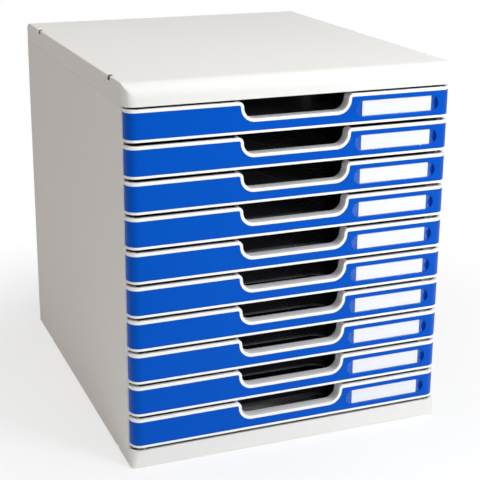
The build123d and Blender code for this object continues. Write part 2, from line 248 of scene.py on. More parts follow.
class StageSettings(PropertyGroup):
    """Floor, lamps and camera."""

    floor: colour("Floor", "Pale floor", (0.900, 0.900, 0.900))
    floor_size: length("Floor size", "Width of the floor", 24.0)
    ambient: FloatProperty(name="Ambient", description="Strength of the even light", default=0.08, min=0.0)
    key_power: power("Key power", "Main lamp", 7.5)
    front_power: power("Front power", "Lamp by the camera", 4.0)
    top_power: power("Top power", "Overhead lamp", 21.0)
    fill_power: power("Fill power", "Left lamp", 7.0)
    warm: colour("Fill colour", "Warm tone of the left lamp", (1.0, 0.87, 0.80))
    cool: colour("Key colour", "Cool tone of the main lamp", (0.955, 0.980, 1.0))
    lens: FloatProperty(name="Lens", description="Focal length in millimetres", default=89.1, min=1.0)
    shift: FloatProperty(name="Lens shift", description="Vertical shift of the lens", default=-0.075)
    azimuth: angle("Azimuth", "Camera's turn round the unit", -21.72)
    pitch: angle("Pitch", "How far the camera looks down", 16.87)
    roll: angle("Roll", "Camera's turn about its own axis", 0.40)
    place: FloatVectorProperty(
        name="Camera", description="Camera's place", default=(-0.3876, -1.0250, 0.4981),
        subtype="TRANSLATION",
    )


# Surfaces

def unit(vectors):
    """Vectors divided by their length, with the shortest ones left at nothing, and the lengths."""
    size = np.linalg.norm(vectors, axis=-1, keepdims=True)
    return np.where(size > WELD, vectors / np.maximum(size, WELD), 0.0), size


def rounded(corners, radii, closed, steps=4, support=0.0003):
    """Rounds the corners of a family of outlines, one outline for each column.

    corners has the shape (columns, corners, 3), and radii one value for each corner, or for each corner
    of each column. Each corner becomes a circular arc tangent to both sides.
    The arc is a rational quadratic curve: the corner is its control point, its weight is the cosine of
    half the turn, and it starts radius x tan(turn / 2) before the corner, at most 45% of a side away.
    One more point just outside each end of the arc keeps the flat beside it flat when it is shaded.
    """
    middle = corners if closed else corners[:, 1:-1]
    earlier = np.roll(corners, 1, axis=1) if closed else corners[:, :-2]
    later = np.roll(corners, -1, axis=1) if closed else corners[:, 2:]
    to_earlier, size_earlier = unit(earlier - middle)
    to_later, size_later = unit(later - middle)
    turn = -np.sum(to_earlier * to_later, axis=-1, keepdims=True)
    half_tangent = np.sqrt(np.maximum(1 - turn, 0.0) / np.maximum(1 + turn, 1e-6))
    sides = np.minimum(size_earlier, size_later)
    radius = np.broadcast_to(np.asarray(radii, float), middle.shape[:2])[..., None]
    reach = np.where(sides > WELD, np.minimum(radius * half_tangent, 0.45 * sides), 0.0)
    weight = np.sqrt(np.maximum(1 + turn, 0.0) / 2)
    start = middle + to_earlier * reach
    end = middle + to_later * reach
    spare = np.where(reach > WELD, np.minimum(support, 0.48 * sides - reach), 0.0)
    points = [start + to_earlier * spare]
    for t in np.linspace(0.0, 1.0, steps + 1):
        first, second, third = (1 - t) ** 2, 2 * t * (1 - t) * weight, t ** 2
        points.append((first * start + second * middle + third * end) / (first + second + third))
    points.append(end + to_later * spare)
    arcs = np.stack(points, axis=2).reshape(len(corners), -1, 3)
    if closed:
        return arcs
    return np.concatenate([corners[:, :1], arcs, corners[:, -1:]], axis=1)


def shell(grid, wrap_columns, wrap_rows):
    """A closed shell from a grid of points (columns, rows, 3): quads between neighbours, and one flat
    face over each open end. Columns or rows that wrap join their last line to their first."""
    columns, rows = grid.shape[:2]
    u = np.arange(columns if wrap_columns else columns - 1)
    v = np.arange(rows if wrap_rows else rows - 1)
    u, v = np.meshgrid(u, v, indexing="ij")
    u_next, v_next = (u + 1) % columns, (v + 1) % rows
    corners = [u * rows + v, u_next * rows + v, u_next * rows + v_next, u * rows + v_next]
    faces = np.stack(corners, axis=-1).reshape(-1, 4).tolist()
    numbers = np.arange(columns * rows).reshape(columns, rows)
    if not wrap_columns:
        faces += [numbers[0].tolist(), numbers[-1].tolist()]
    if not wrap_rows:
        faces += [numbers[:, 0].tolist(), numbers[:, -1].tolist()]
    return grid.reshape(-1, 3), faces


def bar(low, high, radius, axis=1):
    """A rounded bar along an axis: a rounded rectangle carried from end to end, drawn in at each end
    by radius x (1 - sine) over a length of radius x (1 - cosine)."""
    low, high = np.array(low, float), np.array(high, float)
    across = [i for i in range(3) if i != axis]
    radius = min(radius, 0.45 * float(np.min(high - low)))
    angles = np.linspace(0.0, math.pi / 2, 4)
    drawn_in = radius * (1 - np.sin(angles))
    along = radius * (1 - np.cos(angles))
    inset = np.concatenate([drawn_in, drawn_in[::-1]])
    place = np.concatenate([low[axis] + along, high[axis] - along[::-1]])
    corners = np.zeros((len(inset), 4, 3))
    for number, (a, b) in enumerate(((0, 0), (1, 0), (1, 1), (0, 1))):
        for side, pick in zip(across, (a, b)):
            corners[:, number, side] = (high[side] - inset) if pick else (low[side] + inset)
        corners[:, number, axis] = place
    return shell(rounded(corners, [radius] * 4, True, steps=3), False, True)


def block(low, high):
    """A box as a shell."""
    round_end = ((low[1], low[2]), (high[1], low[2]), (high[1], high[2]), (low[1], high[2]))
    corners = np.array([[(x, y, z) for y, z in round_end] for x in (low[0], high[0])])
    return shell(corners, False, True)


def welded(name, points, faces):
    """A mesh with its doubles welded, its faces with no area dropped and the others turned outwards."""
    mesh = bpy.data.meshes.new(name)
    mesh.from_pydata(points.tolist(), [], faces)
    work = bmesh.new()
    work.from_mesh(mesh)
    bmesh.ops.remove_doubles(work, verts=work.verts, dist=WELD)
    bmesh.ops.dissolve_degenerate(work, edges=work.edges, dist=WELD)
    bmesh.ops.recalc_face_normals(work, faces=work.faces)
    work.to_mesh(mesh)
    work.free()
    return mesh


def drill(piece, cutters):
    """Cuts shells out of a piece that is a single shell."""
    tools = []
    for cutter in cutters:
        tool = bpy.data.objects.new("cutter", welded("cutter", *cutter))
        bpy.context.scene.collection.objects.link(tool)
        cut = piece.modifiers.new("cut", "BOOLEAN")
        cut.operation = "DIFFERENCE"
        cut.solver = "EXACT"
        cut.object = tool
        tools.append(tool)
    graph = bpy.context.evaluated_depsgraph_get()
    whole = piece.data
    piece.data = bpy.data.meshes.new_from_object(piece.evaluated_get(graph))
    piece.modifiers.clear()
    bpy.data.meshes.remove(whole)
    for tool in tools:
        mesh = tool.data
        bpy.data.objects.remove(tool)
        bpy.data.meshes.remove(mesh)


def make_piece(name, shells, material, holes=()):
    """One object at the origin from closed shells, each a pair of points and faces. Holes, which are
    shells too, are cut out of the first one. It is shaded smooth but for its creases."""
    piece = bpy.data.objects.new(name, welded(name, *shells[0]))
    bpy.context.scene.collection.objects.link(piece)
    if holes:
        drill(piece, holes)
    whole = bmesh.new()
    whole.from_mesh(piece.data)
    for more in shells[1:]:
        part = welded("part", *more)
        whole.from_mesh(part)
        bpy.data.meshes.remove(part)
    whole.to_mesh(piece.data)
    whole.free()
    piece.data.name = name
    piece.data.shade_smooth()
    piece.data.set_sharp_from_angle(angle=CREASE)
    piece.data.materials.append(material)
    return piece


def dress(piece, body, node):
    """Makes a piece ride on a body and stand for a construction node, which it hides."""
    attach(piece, body)
    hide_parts(node)


def for_each_drawer(piece, part, name):
    """Places the top drawer's piece on its body, and a copy of its mesh at the level of each other drawer."""
    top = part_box(f"{DRAWERS[0]}_{part}")[0].z
    for body in DRAWERS:
        node = f"{body}_{part}"
        copy = piece
        if body != DRAWERS[0]:
            mesh = piece.data.copy()
            mesh.transform(Matrix.Translation((0, 0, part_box(node)[0].z - top)))
            copy = bpy.data.objects.new(f"{body}_{name}", mesh)
            bpy.context.scene.collection.objects.link(copy)
        dress(copy, body, node)


# Outlines seen from above

class Plan:
    """Columns round a rectangle with rounded corners, anticlockwise from its front side.

    A side's columns are given by their coordinate along it, a corner's by evenly spaced angles.
    """

    def __init__(self, low, high, radii, sides, arc_steps=10):
        self.low, self.high = low, high
        self.radii = np.asarray(radii, float)
        side, along, angle, corner = [], [], [], []
        for number, marks in enumerate(sides):
            marks = np.asarray(marks, float)
            side += [number] * len(marks)
            along += marks.tolist()
            angle += [0.0] * len(marks)
            corner += [-1] * len(marks)
            start = math.pi * (1.5 + 0.5 * number)
            for a in np.linspace(start, start + math.pi / 2, arc_steps + 1):
                side.append(-1)
                along.append(0.0)
                angle.append(a)
                corner.append((number + 1) % 4)
        self.side, self.corner = np.array(side), np.array(corner)
        self.along, self.angle = np.array(along), np.array(angle)

    def at(self, inset, radii=None):
        """Points of the columns on the outline drawn in by an inset: a corner keeps its centre while its
        radius shrinks, and past its radius it moves in as a sharp corner. Side columns keep their
        coordinate as far as the side reaches."""
        inset = np.broadcast_to(np.asarray(inset, float), self.side.shape)
        radii = self.radii if radii is None else np.asarray(radii, float)
        radius = np.maximum(radii[:, None] - inset[None, :], 0.0)
        left, right = (0, 3), (1, 2)
        centre_x = np.zeros((4, len(inset)))
        centre_y = np.zeros((4, len(inset)))
        for c in left:
            centre_x[c] = self.low[0] + inset + radius[c]
        for c in right:
            centre_x[c] = self.high[0] - inset - radius[c]
        for c in (0, 1):
            centre_y[c] = self.low[1] + inset + radius[c]
        for c in (2, 3):
            centre_y[c] = self.high[1] - inset - radius[c]
        pick = np.maximum(self.corner, 0)
        column = np.arange(len(inset))
        x = centre_x[pick, column] + radius[pick, column] * np.cos(self.angle)
        y = centre_y[pick, column] + radius[pick, column] * np.sin(self.angle)
        across = np.where(self.side == 0, np.clip(self.along, centre_x[0], centre_x[1]), 0.0)
        across = np.where(self.side == 2, np.clip(self.along, centre_x[3], centre_x[2]), across)
        across = np.where(self.side == 1, self.high[0] - inset, across)
        across = np.where(self.side == 3, self.low[0] + inset, across)
        deep = np.where(self.side == 0, self.low[1] + inset, 0.0)
        deep = np.where(self.side == 2, self.high[1] - inset, deep)
        deep = np.where(self.side == 1, np.clip(self.along, centre_y[1], centre_y[2]), deep)
        deep = np.where(self.side == 3, np.clip(self.along, centre_y[0], centre_y[3]), deep)
        x = np.where(self.side >= 0, across, x)
        y = np.where(self.side >= 0, deep, y)
        return x, y

    def row(self, inset, height, radii=None):
        """The columns' points at an inset and a height."""
        x, y = self.at(inset, radii)
        return np.stack([x, y, np.broadcast_to(np.asarray(height, float), x.shape)], axis=-1)


def arc_height(distance, radius):
    """Height lost at a distance in from an edge rounded with a radius:
    radius - sqrt(radius^2 - (radius - distance)^2)."""
    short = np.clip(radius - distance, 0.0, radius)
    return radius - np.sqrt(np.maximum(radius ** 2 - short ** 2, 0.0))


# Casing

def cover_surface(sizes, inset):
    """Height function of the cover's skin, drawn in by an inset: the lower of its side view, which is
    rounded by the nose and by the rear edge, and its end view, which is rounded at both side edges."""
    half = COVER_HIGH.x - inset
    front, rear = COVER_LOW.y + inset, COVER_HIGH.y - inset
    top = COVER_HIGH.z - inset

    def height(x, y):
        side = top - arc_height(y - front, sizes.nose_radius - inset)
        side = side - arc_height(rear - y, sizes.rear_radius - inset)
        end = top - arc_height(half - np.abs(x), max(sizes.side_radius - inset, 0.0))
        return np.minimum(side, end)

    return height


def side_notches(sizes, level, size):
    """Cutters for the two notches in each side edge at a level, each reaching its size either way."""
    cutters = []
    for distance in (sizes.notch_front, sizes.notch_rear):
        for direction in (-1, 1):
            centre = np.array([direction * COVER_HIGH.x, COVER_LOW.y + distance, level])
            reach = np.array([size[0], size[1] / 2, size[2]])
            cutters.append(block(centre - reach, centre + reach))
    return cutters


def top_cover(sizes, material):
    """Cover: one grid from the middle of its top, out over the nose and the edges, down the wall, round
    the rim and back up the inside to the middle of its ceiling, with ribs under it. Round each stacking
    notch a wider cutter thins the wall from inside, and leaves a skin at the side and the top."""
    front, rear = COVER_LOW.y, COVER_HIGH.y
    nose = np.linspace(0.0, 1.0, 9)
    radii = [sizes.plan_corner, sizes.plan_corner, sizes.rear_corner, sizes.rear_corner]
    side = np.concatenate([
        front + sizes.nose_radius * nose[nose * sizes.nose_radius > sizes.plan_corner],
        np.linspace(front + sizes.nose_radius, rear - sizes.rear_radius, 9),
        rear - sizes.rear_radius * (1 - np.sin(np.linspace(0.1, 1.1, 9))),
    ])
    wide = np.linspace(COVER_LOW.x, COVER_HIGH.x, 11)[1:-1]
    plan = Plan(COVER_LOW, COVER_HIGH, radii, [wide, side, wide[::-1], side[::-1]])
    outer, inner = cover_surface(sizes, 0.0), cover_surface(sizes, sizes.wall)
    soft = np.sin(2 * plan.angle) ** 2 * (plan.corner >= 0) * (plan.corner <= 1)
    turn = 1 - np.cos(np.linspace(0.0, math.pi / 2, 13))
    steps = np.unique(np.concatenate([
        sizes.side_radius * (1 - np.cos(np.linspace(0.0, math.pi / 2, 5))),
        sizes.rear_radius * turn, sizes.nose_radius * turn,
    ]))
    reach = 2 * sizes.corner_crease

    def skin_row(inset, height, extra):
        x, y = plan.at(inset)
        z = height(x, y) - extra
        return np.stack([x, y, z], axis=-1)

    rows = []
    for d in steps[::-1]:
        lost = sizes.corner_crease * soft * max(0.0, 1 - d / reach) ** 2
        rows.append(skin_row(d, outer, lost))
    low = COVER_LOW.z
    rim = np.stack([
        plan.row(0.0, low + sizes.wall), plan.row(0.0, low),
        plan.row(sizes.wall, low), plan.row(sizes.wall, low + sizes.wall),
    ], axis=1)
    rim = rounded(rim, [sizes.seam_edge, sizes.edge], False)
    inner_rows = [skin_row(sizes.wall + d, inner, 0.0) for d in steps]
    grid = np.concatenate([np.stack(rows, axis=1), rim, np.stack(inner_rows, axis=1)], axis=1)
    shells = [shell(grid, True, False)]
    ceiling = COVER_HIGH.z - sizes.wall
    for index in range(sizes.rib_count):
        x = (index - (sizes.rib_count - 1) / 2) * sizes.rib_spacing
        shells.append(bar(
            (x - sizes.rib_wall / 2, front + sizes.nose_radius + sizes.rib_drop, ceiling - sizes.rib_drop),
            (x + sizes.rib_wall / 2, rear - sizes.rear_radius - sizes.rib_drop, ceiling + sizes.edge),
            sizes.edge,
        ))
    size = (sizes.notch_width, sizes.notch_length, sizes.notch_height)
    cutters = side_notches(sizes, COVER_HIGH.z, size)
    skin, relief = sizes.notch_skin, sizes.notch_relief
    size = (sizes.notch_width + relief, sizes.notch_length + 2 * relief, sizes.notch_height + relief)
    for points, faces in side_notches(sizes, COVER_HIGH.z, size):
        points[:, 0] = np.clip(points[:, 0], COVER_LOW.x + skin, COVER_HIGH.x - skin)
        points[:, 2] = np.minimum(points[:, 2], COVER_HIGH.z - skin)
        cutters.append((points, faces))
    return make_piece("cover", shells, material, cutters)


def base_pan(sizes, material):
    """Base: one grid from the middle of the sole, out and up the wall, whose front corners widen on the
    way from the foot to the rim, over the rim and down to the middle of the floor, with two keels."""
    rear_corner = sizes.rear_corner
    rim_radii = np.array([sizes.plan_corner, sizes.plan_corner, rear_corner, rear_corner])
    foot_radii = np.array([sizes.foot_corner, sizes.foot_corner, rear_corner, rear_corner])
    wide = np.linspace(BASE_LOW.x, BASE_HIGH.x, 11)[1:-1]
    deep = np.linspace(BASE_LOW.y, BASE_HIGH.y, 11)[1:-1]
    plan = Plan(BASE_LOW, BASE_HIGH, rim_radii, [wide, deep, wide[::-1], deep[::-1]])
    top = sizes.base_height
    chain = [plan.row(sizes.plan_corner, 0.0, foot_radii), plan.row(sizes.foot_chamfer, 0.0, foot_radii)]
    for share in np.linspace(0.0, 1.0, 6):
        height = sizes.foot_chamfer + share * (top - sizes.foot_chamfer)
        chain.append(plan.row(0.0, height, foot_radii + share * (rim_radii - foot_radii)))
    chain.append(plan.row(sizes.wall, top))
    chain.append(plan.row(sizes.wall, sizes.wall))
    chain.append(plan.row(sizes.wall + sizes.plan_corner, sizes.wall))
    radii = [sizes.edge, sizes.edge] + [0.0] * 4 + [sizes.seam_edge, sizes.edge, sizes.foot_chamfer]
    grid = rounded(np.stack(chain, axis=1), radii, False)
    shells = [shell(grid, True, False)]
    for direction in (-1, 1):
        x = direction * sizes.keel_half_spacing
        shells.append(bar(
            (x - sizes.rib_wall / 2, BASE_LOW.y + 2 * sizes.wall, sizes.wall - sizes.edge),
            (x + sizes.rib_wall / 2, BASE_HIGH.y - 2 * sizes.wall, BASE_HIGH.z),
            sizes.edge,
        ))
    size = (sizes.foot_notch_width, sizes.foot_notch_length, sizes.foot_notch_height)
    return make_piece("foot_base", shells, material, side_notches(sizes, BASE_LOW.z, size))


def side_panel(casing, drawer, direction, name, material):
    """Side panel: a rounded plate with a rail, a keeper and a stop nib for each drawer inside it."""
    outer_x = COVER_HIGH.x
    inner_x = outer_x - casing.wall
    rear = BACK_HIGH.y - casing.back_return - casing.seam
    foot, top = casing.base_height, COVER_LOW.z
    root, reach = casing.tongue_root, casing.tongue_reach
    low, high = (inner_x, PANEL_LOW.y, foot + casing.seam), (outer_x, rear, top - casing.seam)
    shells = [bar(low, high, casing.seam_edge)]
    start, end = PANEL_LOW.y + casing.tongue_front, rear - casing.tongue_rear
    for low_y, high_y, low_z, high_z in (
        (start, end, top - root, top + reach), (start, end, foot - reach, foot + root),
        (rear + casing.rear_reach - casing.rear_tongue, rear + casing.rear_reach, foot + reach, top - reach),
    ):
        low = (inner_x - casing.tongue_wall, low_y, low_z)
        shells.append(bar(low, (inner_x + casing.edge / 2, high_y, high_z), casing.edge))
    rail_y = PANEL_LOW.y + drawer.rail_front
    rail_end = BACK_HIGH.y - casing.wall - drawer.rail_rear
    sunk = inner_x + casing.edge
    for body in DRAWERS:
        tray_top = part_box(f"{body}_tray")[1].z
        seat = tray_top - drawer.flange_thickness - drawer.rail_play
        roof = tray_top + drawer.keeper_play
        rail = ((inner_x - drawer.rail_width, rail_y, seat - drawer.rail_thickness), (sunk, rail_end, seat))
        keeper_top = roof + drawer.keeper_thickness
        keeper = ((inner_x - drawer.keeper_width, rail_y, roof), (sunk, rail_end, keeper_top))
        nib = (
            (inner_x - drawer.nib_width, rail_y, seat - casing.edge),
            (sunk, rail_y + drawer.nib_length, roof + casing.edge),
        )
        shells += [bar(*corners, casing.edge) for corners in (rail, keeper, nib)]
    if direction < 0:
        shells = [(points * np.array([-1.0, 1.0, 1.0]), faces) for points, faces in shells]
    return make_piece(name, shells, material)


def back_panel(casing, material):
    """Back panel: a channel-shaped plan with rounded rear corners, carried from foot to top with
    softened edges at both ends."""
    low_z, high_z = casing.base_height + casing.seam, COVER_LOW.z - casing.seam
    half, rear = BACK_HIGH.x, BACK_HIGH.y
    start = rear - casing.back_return
    angles = np.linspace(0.0, math.pi / 2, 4)
    inset = casing.edge * (1 - np.sin(angles))
    along = casing.edge * (1 - np.cos(angles))
    inset = np.concatenate([inset, inset[::-1]])
    heights = np.concatenate([low_z + along, high_z - along[::-1]])
    inner, back = half - casing.wall, rear - casing.wall
    outline = [
        (half, start, -1, 1), (half, rear, -1, -1), (-half, rear, 1, -1), (-half, start, 1, 1),
        (-inner, start, -1, 1), (-inner, back, -1, 1), (inner, back, 1, 1), (inner, start, 1, 1),
    ]
    corners = np.zeros((len(heights), len(outline), 3))
    for number, (x, y, in_x, in_y) in enumerate(outline):
        corners[:, number, 0] = x + in_x * inset
        corners[:, number, 1] = y + in_y * inset
        corners[:, number, 2] = heights
    corner, edge = casing.rear_corner, casing.edge
    inner_corner = corner - casing.wall
    radii = [edge, corner, corner, edge, edge, inner_corner, inner_corner, edge]
    shells = [shell(rounded(corners, radii, True, steps=8), False, True)]
    reach, root = casing.back_tongue, casing.tongue_root
    width = inner - casing.back_setback
    rim, foot = COVER_LOW.z, casing.base_height
    for bottom, top in ((rim - root, rim + reach), (foot - reach, foot + root)):
        low = (-width, back - casing.tongue_wall, bottom)
        shells.append(bar(low, (width, back + edge / 2, top), edge, axis=0))
    return make_piece("rear_panel", shells, material)


# Drawers

def notch_edge(sizes, margin=0.0):
    """Upper edge of a front from the left end of its flat to the right, as x, drop below the top and the
    unit normal into the material: straight, a convex arc, a short side, a concave arc, the notch's
    floor, and the same mirrored. A margin widens the notch. Two columns close together step into the
    mouth."""
    flat_end = FRONT_HIGH.x - sizes.corner
    mouth = sizes.notch_half_width + sizes.notch_lip_radius
    lip = sizes.notch_lip_radius - margin
    bend = sizes.notch_corner_radius + margin
    floor_x = sizes.notch_half_width - sizes.notch_corner_radius
    side_drop = sizes.notch_lip_radius
    bend_drop = side_drop + sizes.notch_side
    turn = np.linspace(0.0, math.pi / 2, 11)
    flat = np.linspace(flat_end, mouth, 9)[:-1]
    x = [flat, [mouth + STEP], mouth - lip * np.sin(turn), floor_x + bend * np.cos(turn)]
    drop = [0 * flat, [0.0], side_drop - lip * np.cos(turn), bend_drop + bend * np.sin(turn)]
    normal_x = [0 * flat, [0.0], np.sin(turn), np.cos(turn)]
    normal_z = [0 * flat - 1, [-1.0], -np.cos(turn), -np.sin(turn)]
    inside = [0 * flat, [0.0], 0 * turn + 1, 0 * turn + 1]
    right = [np.concatenate(part) for part in (x, drop, normal_x, normal_z, inside)]
    floor = np.linspace(-floor_x, floor_x, 7)[1:-1]
    bottom = bend_drop + bend
    middle = [floor, 0 * floor + bottom, 0 * floor, 0 * floor - 1, 0 * floor + 1]
    mirrored = [-right[0], right[1], -right[2], right[3], right[4]]
    return [np.concatenate([m, c, r[::-1]]) for m, c, r in zip(mirrored, middle, right)]


def wrap_columns(sizes, flat):
    """Columns of a front from the rear of its left return, round the end, along its flat, given as x,
    drop, normal and mouth mark, and round the other end. Each column has its place on the outer
    outline, the plan direction into the wall, and its own drop, normal and mark."""
    half, front, rear = FRONT_HIGH.x, FRONT_LOW.y, FRONT_HIGH.y - sizes.lug_reach
    r = sizes.corner
    turn = np.linspace(0.0, math.pi / 2, 13)
    x = np.concatenate([[half], half - r + r * np.cos(turn)])
    y = np.concatenate([[rear], front + r - r * np.sin(turn)])
    into_x = np.concatenate([[-1.0], -np.cos(turn)])
    into_y = np.concatenate([[0.0], np.sin(turn)])
    ends = len(x)
    flat_x, flat_drop, flat_normal_x, flat_normal_z, flat_mark = flat
    plan = np.stack([
        np.concatenate([-x, flat_x, x[::-1]]),
        np.concatenate([y, 0 * flat_x + front, y[::-1]]),
    ], axis=-1)
    into = np.stack([
        np.concatenate([-into_x, 0 * flat_x, into_x[::-1]]),
        np.concatenate([into_y, 0 * flat_x + 1, into_y[::-1]]),
    ], axis=-1)
    none = np.zeros(ends)
    drop = np.concatenate([none, flat_drop, none])
    normal_x = np.concatenate([none, flat_normal_x, none])
    normal_z = np.concatenate([none - 1, flat_normal_z, none - 1])
    mark = np.concatenate([none, flat_mark, none])
    return plan, into, drop, normal_x, normal_z, mark


def wrap_point(columns, depth, height=None, below=None, top=0.0):
    """Points of the wrapped columns at a depth behind the face, either at a height or at a distance
    below the upper edge along its normal."""
    plan, into, drop, normal_x, normal_z, _ = columns
    depth = np.broadcast_to(np.asarray(depth, float), drop.shape)
    x = plan[:, 0] + into[:, 0] * depth
    y = plan[:, 1] + into[:, 1] * depth
    if below is None:
        return np.stack([x, y, np.broadcast_to(np.asarray(height, float), drop.shape)], axis=-1)
    return np.stack([x + normal_x * below, y, top - drop + normal_z * below], axis=-1)


def drawer_front(sizes, material):
    """Front frame: a section with a rim above and below a recess, carried round both ends and along the
    front, where its upper part follows the finger notch and deepens into the lip. Lugs stand behind it."""
    columns = wrap_columns(sizes, notch_edge(sizes))
    low, top = FRONT_LOW.z, FRONT_HIGH.z
    mark = columns[5]
    full = FRONT_HIGH.y - sizes.lug_reach - FRONT_LOW.y
    lip_depth = np.where(mark > 0, full, sizes.wall)
    rim_bottom = sizes.rim_bottom - sizes.inlay_gap
    rim_top = sizes.rim_top - sizes.inlay_gap
    corners = np.stack([
        wrap_point(columns, 0.0, height=low),
        wrap_point(columns, 0.0, height=low + rim_bottom),
        wrap_point(columns, sizes.recess, height=low + rim_bottom),
        wrap_point(columns, sizes.recess, below=rim_top, top=top),
        wrap_point(columns, 0.0, below=rim_top, top=top),
        wrap_point(columns, 0.0, below=0.0, top=top),
        wrap_point(columns, lip_depth, below=0.0, top=top),
        wrap_point(columns, lip_depth, below=sizes.lip_wall, top=top),
        wrap_point(columns, sizes.wall, below=sizes.lip_wall, top=top),
        wrap_point(columns, sizes.wall, height=low),
    ], axis=1)
    e = sizes.edge
    grid = rounded(corners, [e, 0.6 * e, 0.0, 0.0, 0.6 * e, e, e, 0.6 * e, 0.0, 0.6 * e], True)
    shells = [shell(grid, False, True)]
    rear = FRONT_HIGH.y - sizes.lug_reach
    z = low + sizes.lug_level
    start, half, tall = FRONT_LOW.y + sizes.wall - e, sizes.lug_length / 2, sizes.lug_height / 2
    for x in (-sizes.lug_outer, -sizes.lug_inner, sizes.lug_inner, sizes.lug_outer):
        for border, end in ((sizes.post_border, rear), (0.0, FRONT_HIGH.y)):
            shells.append(bar(
                (x - half - border, start, z - tall - border), (x + half + border, end, z + tall + border), e,
            ))
    return make_piece(f"{DRAWERS[0]}_frame", shells, material, [boss_hole(sizes)])


def boss_hole(sizes):
    """Cutter for the hole behind the thumb well: what the widened pocket and the widened circle have in
    common, from the recess through the wall."""
    centre, half_length, half_height, well_x, middle = pocket_places(sizes)
    grow = sizes.well_wall + sizes.inlay_gap
    start, end = well_x - sizes.well_radius - grow, centre + half_length + grow
    x = (start + end) / 2 - (end - start) / 2 * np.cos(np.linspace(0.0, math.pi, 25))
    wide = slot_half_height(x, centre, half_length + grow, half_height + grow)
    half = lens_half_height(x, wide, well_x, sizes.well_radius + grow)
    near, far = FRONT_LOW.y + sizes.recess - sizes.edge, FRONT_LOW.y + sizes.wall + sizes.edge
    corners = np.stack([
        np.stack([x, np.full_like(x, y), middle + side * half], axis=-1)
        for y, side in ((near, -1), (far, -1), (far, 1), (near, 1))
    ], axis=1)
    return shell(corners, False, True)


def pocket_places(sizes):
    """The label pocket's middle, half length, half height and the middle of its thumb well."""
    half_height = (FRONT_HIGH.z - FRONT_LOW.z - sizes.rim_top - sizes.rim_bottom) / 2 - sizes.pocket_border
    half_length = sizes.pocket_length / 2
    centre = FRONT_HIGH.x - sizes.pocket_margin - half_length
    well_x = centre + half_length - sizes.well_reach + sizes.well_radius
    middle = (FRONT_LOW.z + sizes.rim_bottom + FRONT_HIGH.z - sizes.rim_top) / 2
    return centre, half_length, half_height, well_x, middle


def slot_half_height(x, centre, half_length, radius):
    """Half the height of a round-ended slot at x: its radius along the middle, and
    sqrt(radius^2 - distance^2) past the centre of each end."""
    beyond = np.maximum(np.abs(x - centre) - (half_length - radius), 0.0)
    return np.sqrt(np.maximum(radius ** 2 - beyond ** 2, 0.0))


def lens_half_height(x, slot, well_x, radius):
    """Half the height, at x, of what a slot and the left part of a circle have in common."""
    circle = np.sqrt(np.maximum(radius ** 2 - (x - well_x) ** 2, 0.0))
    return np.where(x < well_x, np.minimum(slot, circle), slot)


